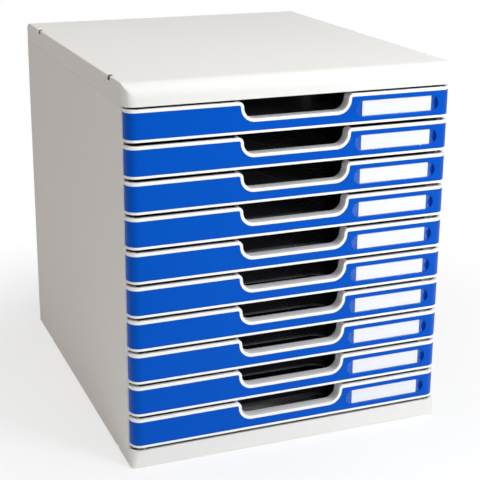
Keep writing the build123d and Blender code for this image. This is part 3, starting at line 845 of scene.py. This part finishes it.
def blue_inlay(sizes, material):
    """Inlay: a plate carried round both ends and along the front under the finger notch. Its rows part
    to form the round-ended label pocket, the thumb well in its right-hand end and the boss behind it.
    Places along the pocket are kept to 0.01 mm, so that two nearly equal ones are one column."""
    centre, half_length, half_height, well_x, middle = pocket_places(sizes)
    notch = notch_edge(sizes)
    keep = notch[0] < centre - half_length
    turn = np.linspace(0.0, math.pi / 2, 10)
    boss = sizes.well_radius + sizes.well_wall
    left, right, well_start, boss_start, boss_end = np.round([
        centre - half_length, centre + half_length, well_x - sizes.well_radius, well_x - boss,
        centre + half_length + sizes.well_wall,
    ], 5)
    marks = np.concatenate([
        left + half_height * (1 - np.cos(turn)), right - half_height * (1 - np.cos(turn)),
        well_x - sizes.well_radius * np.cos(turn), well_x - boss * np.cos(turn),
        np.linspace(left, right, 9), [boss_end],
        right - half_height + (half_height + sizes.well_wall) * np.sin(turn),
    ])
    marks = np.unique(np.round(marks[marks <= boss_end + WELD], 5))
    doubled = np.array([left, well_start, boss_start, right, boss_end])
    after = np.zeros(len(marks))
    marks = np.concatenate([marks, doubled])
    after = np.concatenate([after, np.ones(len(doubled))])
    order = np.lexsort((after, marks))
    marks, after = marks[order], after[order]
    end = [FRONT_HIGH.x - sizes.corner]
    flat_x = np.concatenate([notch[0][keep], marks, end])
    count = len(marks) + 1
    level_end = (0.0, 0.0, -1.0, 0.0)
    flat = [flat_x] + [
        np.concatenate([part[keep], np.full(count, value)]) for part, value in zip(notch[1:], level_end)
    ]
    columns = wrap_columns(sizes, flat)
    before = (len(columns[2]) - len(flat_x)) // 2
    late = np.zeros(len(columns[2]))
    late[before + int(keep.sum()):before + int(keep.sum()) + len(marks)] = after
    x = columns[0][:, 0]
    near = sizes.inlay_step
    low = FRONT_LOW.z + sizes.rim_bottom
    on_flat = columns[1][:, 1] > 1 - WELD

    def within(start, stop):
        """Marks the columns past a start and before a stop, counting the later of two doubled columns."""
        past = (x > start + WELD) | ((np.abs(x - start) <= WELD) & (late > 0))
        short = (x < stop - WELD) | ((np.abs(x - stop) <= WELD) & (late < 1))
        return past & short & on_flat

    pocket_in = within(left, right)
    well_in = within(well_start, right) & (x < right - WELD)
    boss_in = within(boss_start, boss_end)
    pocket_h = np.where(pocket_in, slot_half_height(x, centre, half_length, half_height), 0.0)
    well_h = np.where(well_in, lens_half_height(x, pocket_h, well_x, sizes.well_radius), 0.0)
    wide = slot_half_height(x, centre, half_length + sizes.well_wall, half_height + sizes.well_wall)
    boss_h = np.where(boss_in, lens_half_height(x, wide, well_x, boss), 0.0)
    floor = np.where(pocket_in, near + sizes.pocket_depth, near)
    deep = np.where(well_in, near + sizes.well_depth, floor)
    boss_depth = np.where(boss_in, near + sizes.well_depth + sizes.well_floor, sizes.recess)
    top = FRONT_HIGH.z
    corners = np.stack([
        wrap_point(columns, sizes.recess, height=low),
        wrap_point(columns, near, height=low),
        wrap_point(columns, near, height=middle - pocket_h),
        wrap_point(columns, floor, height=middle - pocket_h),
        wrap_point(columns, floor, height=middle - well_h),
        wrap_point(columns, deep, height=middle - well_h),
        wrap_point(columns, deep, height=middle + well_h),
        wrap_point(columns, floor, height=middle + well_h),
        wrap_point(columns, floor, height=middle + pocket_h),
        wrap_point(columns, near, height=middle + pocket_h),
        wrap_point(columns, near, below=sizes.rim_top, top=top),
        wrap_point(columns, sizes.recess, below=sizes.rim_top, top=top),
        wrap_point(columns, sizes.recess, height=middle + boss_h),
        wrap_point(columns, boss_depth, height=middle + boss_h),
        wrap_point(columns, boss_depth, height=middle - boss_h),
        wrap_point(columns, sizes.recess, height=middle - boss_h),
    ], axis=1)
    level = np.minimum(middle, corners[:, 10, 2] - sizes.inlay_edge * 2)
    for number in (2, 3, 4, 5, 6, 7, 8, 9, 12, 13, 14, 15):
        plain = (pocket_h if number < 10 else boss_h) <= 0
        corners[:, number, 2] = np.where(plain, level, corners[:, number, 2])
    radii = np.zeros(corners.shape[:2])
    radii[:, [1, 10]] = sizes.inlay_edge
    radii[:, [2, 9]] = sizes.pocket_edge * (pocket_h > 0)[:, None]
    radii[:, [4, 7]] = sizes.pocket_edge * (well_h > 0)[:, None]
    shells = [shell(rounded(corners, radii, True), False, True)]
    return make_piece(f"{DRAWERS[0]}_blue_inlay", shells, material)


def paper_label(sizes, material):
    """Paper label: a sheet with rounded corners on the pocket's floor, just clear of the window."""
    centre, half_length, half_height, _, middle = pocket_places(sizes)
    rear = FRONT_LOW.y + sizes.inlay_step + sizes.pocket_depth
    face = rear - sizes.label_thickness + sizes.label_play
    reach, height = half_length - sizes.label_end_gap, half_height - sizes.label_edge_gap
    corner = sizes.label_corner
    turn = np.linspace(0.0, math.pi / 2, 5)
    left = -reach + corner * (1 - np.cos(turn))
    x = centre + np.concatenate([left, [0.0], -left[::-1]])
    short = corner * (1 - np.sin(turn))
    tall = height - np.concatenate([short, [0.0], short[::-1]])
    corners = np.stack([
        np.stack([x, np.full_like(x, y), middle + side * tall], axis=-1)
        for y, side in ((rear, -1), (face, -1), (face, 1), (rear, 1))
    ], axis=1)
    return make_piece(f"{DRAWERS[0]}_paper", [shell(corners, False, True)], material)


def clear_window(sizes, material):
    """Window: a round-ended plate, swept upwards row by row between its left end, x = centre - half
    length + radius - sqrt(radius^2 - z^2), and the nearer of its right end and the thumb well's circle."""
    centre, half_length, half_height, well_x, middle = pocket_places(sizes)
    radius = half_height - sizes.window_gap
    half = half_length - sizes.window_gap
    z = radius * np.sin(np.linspace(-math.pi / 2, math.pi / 2, 25))
    bulge = np.sqrt(np.maximum(radius ** 2 - z ** 2, 0.0))
    left = centre - half + radius - bulge
    circle = well_x - np.sqrt(np.maximum(sizes.well_radius ** 2 - z ** 2, 0.0))
    circle = np.where(np.abs(z) < sizes.well_radius, circle, well_x)
    right = np.minimum(centre + half - radius + bulge, circle)
    rear = FRONT_LOW.y + sizes.inlay_step + sizes.pocket_depth - sizes.label_thickness
    face = rear - sizes.window_thickness
    corners = np.stack([
        np.stack([x, np.full_like(z, y), middle + z], axis=-1)
        for x, y in ((left, rear), (left, face), (right, face), (right, rear))
    ], axis=1)
    e = 0.25 * sizes.window_thickness
    shells = [shell(rounded(corners, [0.0, e, e, 0.0], True, steps=3), False, True)]
    return make_piece(f"{DRAWERS[0]}_window", shells, material)


def finger_hole(sizes):
    """Cutter for the round-ended hole in a tray's floor: its outline carried up through the floor and
    widened at 45 degrees along the upper edge."""
    radius = sizes.hole_width / 2
    straight = sizes.notch_half_width + sizes.hole_margin - radius
    middle = TRAY_LOW.y + sizes.tray_wall + sizes.hole_gap + radius
    turn = np.linspace(-math.pi / 2, math.pi / 2, 25)
    round_ends = np.concatenate([turn, turn + math.pi])
    side = np.repeat([straight, -straight], len(turn))
    floor = TRAY_LOW.z + sizes.tray_floor
    bevel = sizes.hole_bevel
    rows = []
    for grow, height in ((0.0, TRAY_LOW.z - bevel), (0.0, floor - bevel), (2 * bevel, floor + bevel)):
        x, y = side + (radius + grow) * np.cos(round_ends), middle + (radius + grow) * np.sin(round_ends)
        rows.append(np.stack([x, y, np.full_like(x, height)], axis=-1))
    return shell(np.stack(rows, axis=1), True, False)


def black_tray(sizes, material):
    """Tray: one grid from the middle of its underside, out round the foot, up the wall, out over the
    flange, the stop ear or the rear lip, and down the inside to the middle of its floor. The front
    wall's upper edge follows the finger notch."""
    low = Vector((-sizes.tray_half, TRAY_LOW.y, TRAY_LOW.z))
    high = Vector((sizes.tray_half, TRAY_HIGH.y - sizes.tray_rear_gap, TRAY_HIGH.z))
    radii = [sizes.tray_front_corner, sizes.tray_front_corner, sizes.tray_rear_corner, sizes.tray_rear_corner]
    edge_x, edge_drop, _, _, _ = notch_edge(sizes, sizes.notch_margin)
    top_drop = FRONT_HIGH.z - TRAY_HIGH.z
    inside = np.abs(edge_x) < sizes.notch_half_width + sizes.notch_lip_radius
    ends = low.x + sizes.tray_front_corner
    front_x = np.concatenate([np.linspace(ends, -0.06, 4), edge_x[inside], np.linspace(0.06, -ends, 4)])
    front_drop = np.concatenate([np.zeros(4), np.maximum(edge_drop[inside] - top_drop, 0.0), np.zeros(4)])
    flange_start = low.y + sizes.flange_setback
    flange_end = high.y - sizes.tray_rear_corner
    ear_start = low.y + sizes.ear_front
    ear_end = ear_start + sizes.ear_length
    stops = [flange_start, ear_start, ear_end, flange_end]
    reaches = [0.0, sizes.flange_reach, TRAY_HIGH.x - sizes.tray_half, sizes.flange_reach, 0.0]
    side, side_reach = [], []
    for number, stop in enumerate(stops):
        side += [stop - STEP / 2, stop + STEP / 2]
        side_reach += [reaches[number], reaches[number + 1]]
    lip_end = sizes.tray_half - sizes.tray_rear_corner
    rear_x = [lip_end, lip_end - STEP, 0.0, STEP - lip_end, -lip_end]
    rear_reach = [0.0, sizes.tray_rear_gap, sizes.tray_rear_gap, sizes.tray_rear_gap, 0.0]
    plan = Plan(low, high, radii, [front_x, side, rear_x, side[::-1]], arc_steps=9)
    reach = np.zeros(len(plan.side))
    drop = np.zeros(len(plan.side))
    drop[plan.side == 0] = front_drop
    reach[plan.side == 1] = side_reach
    reach[plan.side == 2] = rear_reach
    reach[plan.side == 3] = side_reach[::-1]
    top = high.z - drop
    seat = np.minimum(high.z - sizes.flange_thickness, top - 2 * sizes.tray_edge)
    far = max(sizes.tray_foot, sizes.tray_rear_corner) + sizes.tray_wall
    floor = low.z + sizes.tray_floor
    chain = np.stack([
        plan.row(far, low.z), plan.row(0.0, low.z), plan.row(0.0, seat), plan.row(-reach, seat),
        plan.row(-reach, top), plan.row(sizes.tray_wall, top), plan.row(sizes.tray_wall, floor),
        plan.row(far + sizes.tray_wall, floor),
    ], axis=1)
    e = sizes.tray_edge
    inner_foot = sizes.tray_foot - sizes.tray_wall / 2
    grid = rounded(chain, [sizes.tray_foot, e, e, e, e, inner_foot], False, steps=5)
    return make_piece(f"{DRAWERS[0]}_black_tray", [shell(grid, True, False)], material, [finger_hole(sizes)])


# Finishes

def new_group(name, inputs, outputs):
    """An empty shader node group with named inputs, given with their defaults, and named outputs."""
    group = bpy.data.node_groups.new(name, "ShaderNodeTree")
    for title, default in inputs:
        socket = group.interface.new_socket(name=title, in_out="INPUT", socket_type="NodeSocketFloat")
        socket.default_value = default
    for title in outputs:
        group.interface.new_socket(name=title, in_out="OUTPUT", socket_type="NodeSocketFloat")
    return group, group.nodes.new("NodeGroupInput"), group.nodes.new("NodeGroupOutput")


def feed(tree, value, socket):
    """Gives a socket a plain number, or links another socket to it."""
    if isinstance(value, (int, float)):
        socket.default_value = value
    else:
        tree.links.new(value, socket)


def math_node(tree, operation, first, second):
    """A maths node fed by sockets or plain numbers, and its output."""
    node = tree.nodes.new("ShaderNodeMath")
    node.operation = operation
    feed(tree, first, node.inputs[0])
    feed(tree, second, node.inputs[1])
    return node.outputs[0]


def noise(tree, coordinates, scale, detail, roughness=0.5):
    """Noise on the given coordinates, whose scale is a number or a socket, and its output."""
    node = tree.nodes.new("ShaderNodeTexNoise")
    node.inputs["Detail"].default_value = detail
    node.inputs["Roughness"].default_value = roughness
    tree.links.new(coordinates, node.inputs["Vector"])
    feed(tree, scale, node.inputs["Scale"])
    return node.outputs["Fac"]


def moulded_group():
    """Moulded plastic: a fine spark-eroded grain, a faint broad unevenness of tone and a change of
    roughness that follows both. Grain and Mottle are the number of patches in a metre."""
    name = "moulded_surface"
    if name in bpy.data.node_groups:
        return bpy.data.node_groups[name]
    group, entry, out = new_group(
        name, [("Grain", 1800.0), ("Mottle", 14.0), ("Roughness", 0.5), ("Spread", 0.06)],
        ["Height", "Tone", "Roughness"],
    )
    place = group.nodes.new("ShaderNodeTexCoord").outputs["Object"]
    fine = noise(group, place, entry.outputs["Grain"], 2.0)
    broad = noise(group, place, entry.outputs["Mottle"], 3.0)
    medium = noise(group, place, math_node(group, "MULTIPLY", entry.outputs["Grain"], 0.09), 2.0)
    height = math_node(group, "ADD", fine, math_node(group, "MULTIPLY", medium, 0.6))
    group.links.new(height, out.inputs["Height"])
    share = math_node(group, "MULTIPLY", broad, 0.8)
    tone = math_node(group, "ADD", share, math_node(group, "MULTIPLY", fine, 0.2))
    group.links.new(tone, out.inputs["Tone"])
    shift = math_node(group, "SUBTRACT", math_node(group, "ADD", fine, broad), 1.0)
    spread = math_node(group, "MULTIPLY", shift, entry.outputs["Spread"])
    group.links.new(math_node(group, "ADD", entry.outputs["Roughness"], spread), out.inputs["Roughness"])
    return group


def handling_group():
    """Handling marks: long thin hairlines at three angles, as a mask from 0 to 1."""
    name = "handling_marks"
    if name in bpy.data.node_groups:
        return bpy.data.node_groups[name]
    group, entry, out = new_group(name, [("Length", 9.0), ("Fineness", 900.0), ("Amount", 0.06)], ["Mask"])
    place = group.nodes.new("ShaderNodeTexCoord").outputs["Object"]
    total = None
    for number, turn in enumerate((0.35, 1.3, 2.4)):
        mapping = group.nodes.new("ShaderNodeMapping")
        mapping.inputs["Rotation"].default_value = (0.2 * number, 0.3, turn)
        group.links.new(place, mapping.inputs["Vector"])
        scale = group.nodes.new("ShaderNodeCombineXYZ")
        group.links.new(entry.outputs["Length"], scale.inputs["X"])
        group.links.new(entry.outputs["Fineness"], scale.inputs["Y"])
        group.links.new(entry.outputs["Length"], scale.inputs["Z"])
        stretch = group.nodes.new("ShaderNodeVectorMath")
        stretch.operation = "MULTIPLY"
        group.links.new(mapping.outputs["Vector"], stretch.inputs[0])
        group.links.new(scale.outputs["Vector"], stretch.inputs[1])
        lines = math_node(group, "GREATER_THAN", noise(group, stretch.outputs["Vector"], 1.0, 1.0), 0.72)
        total = lines if total is None else math_node(group, "MAXIMUM", total, lines)
    group.links.new(math_node(group, "MULTIPLY", total, entry.outputs["Amount"]), out.inputs["Mask"])
    return group


def new_material(name):
    """A material with its shader and output, and the shader."""
    material = bpy.data.materials.new(name)
    material.use_nodes = True
    return material, material.node_tree, material.node_tree.nodes["Principled BSDF"]


def between(tree, factor, dark, light):
    """A colour between two colours, by a factor."""
    mix = tree.nodes.new("ShaderNodeMix")
    mix.data_type = "RGBA"
    tree.links.new(factor, mix.inputs["Factor"])
    mix.inputs["A"].default_value = (*dark, 1.0)
    mix.inputs["B"].default_value = (*light, 1.0)
    return mix.outputs["Result"]


def raised(tree, shader, height, depth):
    """Raises a shader's surface by a height, whose whole range is a depth in metres."""
    bump = tree.nodes.new("ShaderNodeBump")
    bump.inputs["Distance"].default_value = depth
    tree.links.new(height, bump.inputs["Height"])
    tree.links.new(bump.outputs["Normal"], shader.inputs["Normal"])


def moulded(name, base, roughness, grain, depth, contrast=0.03, spread=0.06, tint=(1.0, 1.0, 1.0)):
    """A moulded plastic: its colour varies by a small contrast, its grain has a depth in metres, and a
    tint colours what it mirrors."""
    material, tree, shader = new_material(name)
    surface = tree.nodes.new("ShaderNodeGroup")
    surface.node_tree = moulded_group()
    surface.inputs["Grain"].default_value = grain
    surface.inputs["Roughness"].default_value = roughness
    surface.inputs["Spread"].default_value = spread
    dark = [c * (1 - contrast) for c in base]
    light = [min(c * (1 + contrast), 1.0) for c in base]
    tree.links.new(between(tree, surface.outputs["Tone"], dark, light), shader.inputs["Base Color"])
    tree.links.new(surface.outputs["Roughness"], shader.inputs["Roughness"])
    raised(tree, shader, surface.outputs["Height"], depth)
    shader.inputs["Specular Tint"].default_value = (*tint, 1.0)
    return material


def tray_finish(base):
    """Glossy black plastic with faint hairlines from papers and hands."""
    material = moulded("tray_black", base, 0.22, 700.0, 0.00001, contrast=0.15, spread=0.10)
    tree = material.node_tree
    shader = tree.nodes["Principled BSDF"]
    marks = tree.nodes.new("ShaderNodeGroup")
    marks.node_tree = handling_group()
    rough = shader.inputs["Roughness"].links[0].from_socket
    tree.links.new(math_node(tree, "ADD", rough, marks.outputs["Mask"]), shader.inputs["Roughness"])
    return material


def paper_finish(base):
    """Smooth white card with fine fibres."""
    material, tree, shader = new_material("label_paper")
    place = tree.nodes.new("ShaderNodeTexCoord").outputs["Object"]
    fibres = noise(tree, place, 2600.0, 4.0, 0.7)
    cloud = noise(tree, place, 160.0, 2.0)
    tone = math_node(tree, "MULTIPLY", math_node(tree, "ADD", fibres, cloud), 0.5)
    dark = [c * 0.95 for c in base]
    light = [min(c * 1.04, 1.0) for c in base]
    tree.links.new(between(tree, tone, dark, light), shader.inputs["Base Color"])
    raised(tree, shader, fibres, 0.00002)
    shader.inputs["Roughness"].default_value = 0.75
    shader.inputs["Specular IOR Level"].default_value = 0.3
    return material


def window_finish(base):
    """Clear plastic with a smooth, very slightly wavy face. Its opacity is the share of the light that
    it mirrors, by Schlick's formula, and the rest passes straight through."""
    material, tree, shader = new_material("label_window")
    place = tree.nodes.new("ShaderNodeTexCoord").outputs["Object"]
    waves = noise(tree, place, 60.0, 1.0)
    tree.links.new(between(tree, waves, [c * 0.96 for c in base], base), shader.inputs["Base Color"])
    raised(tree, shader, waves, 0.00003)
    turned = tree.nodes.new("ShaderNodeLayerWeight")
    turned.inputs["Blend"].default_value = 0.5
    grazing = math_node(tree, "POWER", turned.outputs["Facing"], 5.0)
    mirrored = math_node(tree, "ADD", math_node(tree, "MULTIPLY", grazing, 0.96), 0.03)
    tree.links.new(mirrored, shader.inputs["Alpha"])
    shader.inputs["Metallic"].default_value = 1.0
    shader.inputs["Roughness"].default_value = 0.08
    return material


def casing_finish(scene):
    """The casing's matt light grey plastic, made once."""
    made = bpy.data.materials.get("casing_grey")
    return made or moulded("casing_grey", scene.unit_finish.casing, 0.52, 1500.0, 0.000016, contrast=0.02)


# Operators

class UNIT_OT_cover(Operator):
    """Builds the cover with its rounded nose, ribs and stacking notches"""

    bl_idname = "drawer_unit.cover"
    bl_label = "Cover"

    def execute(self, context):
        piece = top_cover(context.scene.unit_casing, casing_finish(context.scene))
        dress(piece, "casing", "top_cover")
        return {"FINISHED"}


class UNIT_OT_base(Operator):
    """Builds the base with its keels and notches"""

    bl_idname = "drawer_unit.base"
    bl_label = "Base"

    def execute(self, context):
        piece = base_pan(context.scene.unit_casing, casing_finish(context.scene))
        dress(piece, "casing", "base")
        return {"FINISHED"}


class UNIT_OT_panels(Operator):
    """Builds both side panels with their rails, and the back panel"""

    bl_idname = "drawer_unit.panels"
    bl_label = "Side and back panels"

    def execute(self, context):
        scene = context.scene
        material = casing_finish(scene)
        for direction, side in ((-1, "left"), (1, "right")):
            piece = side_panel(scene.unit_casing, scene.unit_drawer, direction, f"{side}_panel", material)
            dress(piece, "casing", f"{side}_side_panel")
        dress(back_panel(scene.unit_casing, material), "casing", "back_panel")
        return {"FINISHED"}


class UNIT_OT_fronts(Operator):
    """Builds the light frames of the drawer fronts"""

    bl_idname = "drawer_unit.fronts"
    bl_label = "Drawer fronts"

    def execute(self, context):
        scene = context.scene
        material = moulded("front_grey", scene.unit_finish.front, 0.40, 1800.0, 0.000008, contrast=0.015)
        for_each_drawer(drawer_front(scene.unit_drawer, material), "front", "frame")
        return {"FINISHED"}


class UNIT_OT_inlays(Operator):
    """Builds the blue inlays with their label pockets"""

    bl_idname = "drawer_unit.inlays"
    bl_label = "Blue inlays"

    def execute(self, context):
        scene = context.scene
        finish = scene.unit_finish
        material = moulded(
            "inlay_blue", finish.inlay, 0.34, 1500.0, 0.000006, contrast=0.04, tint=finish.inlay_gloss,
        )
        for_each_drawer(blue_inlay(scene.unit_drawer, material), "inlay", "blue_inlay")
        return {"FINISHED"}


class UNIT_OT_labels(Operator):
    """Builds the paper labels and their clear windows"""

    bl_idname = "drawer_unit.labels"
    bl_label = "Labels and windows"

    def execute(self, context):
        scene = context.scene
        paper = paper_finish(scene.unit_finish.paper)
        for_each_drawer(paper_label(scene.unit_drawer, paper), "label", "paper")
        clear = window_finish(scene.unit_finish.window)
        for_each_drawer(clear_window(scene.unit_drawer, clear), "label_cover", "window")
        return {"FINISHED"}


class UNIT_OT_trays(Operator):
    """Builds the black trays with their flanges, stop ears and rear lips"""

    bl_idname = "drawer_unit.trays"
    bl_label = "Trays"

    def execute(self, context):
        scene = context.scene
        material = tray_finish(scene.unit_finish.tray)
        for_each_drawer(black_tray(scene.unit_drawer, material), "tray", "black_tray")
        return {"FINISHED"}


def floor_finish(settings):
    """Pale floor that keeps the shadow near the unit and is plain white to the camera further out."""
    material, tree, shader = new_material("pale_floor")
    shader.inputs["Base Color"].default_value = (*settings.floor, 1.0)
    shader.inputs["Roughness"].default_value = 0.8
    shader.inputs["Specular IOR Level"].default_value = 0.1
    place = tree.nodes.new("ShaderNodeTexCoord")
    distance = tree.nodes.new("ShaderNodeVectorMath")
    distance.operation = "LENGTH"
    tree.links.new(place.outputs["Object"], distance.inputs[0])
    fade = tree.nodes.new("ShaderNodeMapRange")
    fade.interpolation_type = "SMOOTHSTEP"
    fade.inputs["From Min"].default_value = 0.20
    fade.inputs["From Max"].default_value = 0.48
    fade.inputs["To Min"].default_value = 0.60
    fade.inputs["To Max"].default_value = 1.0
    tree.links.new(distance.outputs["Value"], fade.inputs["Value"])
    path = tree.nodes.new("ShaderNodeLightPath")
    seen = math_node(tree, "MULTIPLY", path.outputs["Is Camera Ray"], fade.outputs["Result"])
    white = tree.nodes.new("ShaderNodeEmission")
    mix = tree.nodes.new("ShaderNodeMixShader")
    tree.links.new(seen, mix.inputs[0])
    tree.links.new(shader.outputs[0], mix.inputs[1])
    tree.links.new(white.outputs[0], mix.inputs[2])
    tree.links.new(mix.outputs[0], tree.nodes["Material Output"].inputs["Surface"])
    return material


def lamp(name, place, aim, size, power, tone=(1.0, 1.0, 1.0)):
    """A square area lamp that looks at a point."""
    light = bpy.data.lights.new(name, "AREA")
    light.energy = power
    light.size = size
    light.color = tone
    holder = bpy.data.objects.new(name, light)
    holder.location = place
    holder.rotation_euler = (Vector(aim) - Vector(place)).to_track_quat("-Z", "Y").to_euler()
    bpy.context.scene.collection.objects.link(holder)


def even_light(scene, ambient):
    """World: white to the camera, to reflections and through clear plastic, and an even grey light else."""
    world = bpy.data.worlds.new("pale_room")
    scene.world = world
    world.use_nodes = True
    tree = world.node_tree
    path = tree.nodes.new("ShaderNodeLightPath")
    seen = math_node(tree, "MAXIMUM", path.outputs["Is Camera Ray"], path.outputs["Is Glossy Ray"])
    seen = math_node(tree, "MAXIMUM", seen, path.outputs["Is Transmission Ray"])
    strength = tree.nodes.new("ShaderNodeMapRange")
    strength.inputs["To Min"].default_value = ambient
    strength.inputs["To Max"].default_value = 1.0
    tree.links.new(seen, strength.inputs["Value"])
    background = tree.nodes["Background"]
    background.inputs["Color"].default_value = (1.0, 1.0, 1.0, 1.0)
    tree.links.new(strength.outputs["Result"], background.inputs["Strength"])


class UNIT_OT_stage(Operator):
    """Builds the floor, the lamps, the even light and the camera"""

    bl_idname = "drawer_unit.stage"
    bl_label = "Stage"

    def execute(self, context):
        scene = context.scene
        settings = scene.unit_stage
        half = settings.floor_size / 2
        mesh = bpy.data.meshes.new("floor")
        corners = [(-half, -half, 0), (half, -half, 0), (half, half, 0), (-half, half, 0)]
        mesh.from_pydata(corners, [], [(0, 1, 2, 3)])
        mesh.materials.append(floor_finish(settings))
        floor = bpy.data.objects.new("floor", mesh)
        scene.collection.objects.link(floor)
        lamp("key", (0.55, -0.98, 0.66), (0.05, 0.0, 0.16), 0.35, settings.key_power, settings.cool)
        lamp("overhead", (0.1, -0.25, 1.9), (0.0, 0.0, 0.3), 1.5, settings.top_power)
        lamp("front", (-0.25, -1.60, 0.66), (0.0, -0.17, 0.16), 0.30, settings.front_power)
        lamp("fill", (-1.75, 0.55, 0.85), (0.0, 0.0, 0.15), 1.4, settings.fill_power, settings.warm)
        even_light(scene, settings.ambient)
        camera = bpy.data.cameras.new("camera")
        camera.sensor_width = 36.0
        camera.lens = settings.lens
        camera.shift_y = settings.shift
        camera.clip_start, camera.clip_end = 0.05, 60.0
        holder = bpy.data.objects.new("camera", camera)
        holder.location = settings.place
        look = Euler((math.pi / 2 - settings.pitch, 0.0, settings.azimuth), "XYZ").to_matrix()
        holder.rotation_euler = (look @ Matrix.Rotation(settings.roll, 3, "Z")).to_euler()
        scene.collection.objects.link(holder)
        scene.camera = holder
        scene.view_settings.view_transform = "Standard"
        return {"FINISHED"}


class UNIT_PT_sidebar(Panel):
    """Lists the unit's pieces in the sidebar"""

    bl_idname = "UNIT_PT_sidebar"
    bl_label = "Drawer Unit"
    bl_space_type = "VIEW_3D"
    bl_region_type = "UI"
    bl_category = "Drawer Unit"

    def draw(self, context):
        for operator in OPERATORS:
            self.layout.operator(operator.bl_idname)


OPERATORS = (
    UNIT_OT_cover, UNIT_OT_base, UNIT_OT_panels, UNIT_OT_fronts, UNIT_OT_inlays, UNIT_OT_labels,
    UNIT_OT_trays, UNIT_OT_stage,
)
GROUPS = (
    (CasingSizes, "unit_casing"), (DrawerSizes, "unit_drawer"),
    (FinishColours, "unit_finish"), (StageSettings, "unit_stage"),
)


def register():
    """Registers the settings, the operators and the panel."""
    for group, name in GROUPS:
        bpy.utils.register_class(group)
        setattr(bpy.types.Scene, name, PointerProperty(type=group))
    for kind in (*OPERATORS, UNIT_PT_sidebar):
        bpy.utils.register_class(kind)


def unregister():
    """Takes the panel, the operators and the settings out again."""
    bpy.utils.unregister_class(UNIT_PT_sidebar)
    for operator in reversed(OPERATORS):
        bpy.utils.unregister_class(operator)
    for group, name in reversed(GROUPS):
        delattr(bpy.types.Scene, name)
        bpy.utils.unregister_class(group)


def main():
    """Builds every piece and the stage in order."""
    register()
    bpy.ops.drawer_unit.cover()
    bpy.ops.drawer_unit.base()
    bpy.ops.drawer_unit.panels()
    bpy.ops.drawer_unit.fronts()
    bpy.ops.drawer_unit.inlays()
    bpy.ops.drawer_unit.labels()
    bpy.ops.drawer_unit.trays()
    bpy.ops.drawer_unit.stage()


if __name__ == "__main__":
    main()
